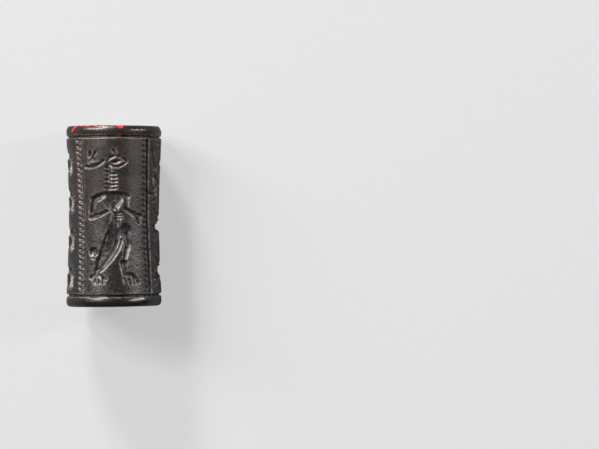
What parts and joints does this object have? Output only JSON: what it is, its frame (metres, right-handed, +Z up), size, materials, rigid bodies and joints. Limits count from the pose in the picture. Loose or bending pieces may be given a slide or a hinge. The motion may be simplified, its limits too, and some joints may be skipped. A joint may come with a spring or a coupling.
{
  "type": "cylinder seal",
  "caption": "Small engraved stone cylinder seal, pierced from end to end, with rope borders, animals, hands, heads and a standing figure cut into its sides.",
  "frame": {"origin": "on the surface that the seal lies on, under the middle of the seal", "axes": "+Y along the seal's axis, from the foot of the design to its top; +Z up, out through the standing figure; +X to the figure's left, as the viewer's right"},
  "size_m": [0.0116, 0.022, 0.0116],
  "materials": {
    "stone": "dark grey-black haematite, polished, with a soft metallic sheen"
  },
  "bodies": {
    "root": {"seal": "stone"}
  },
  "joints": []
}
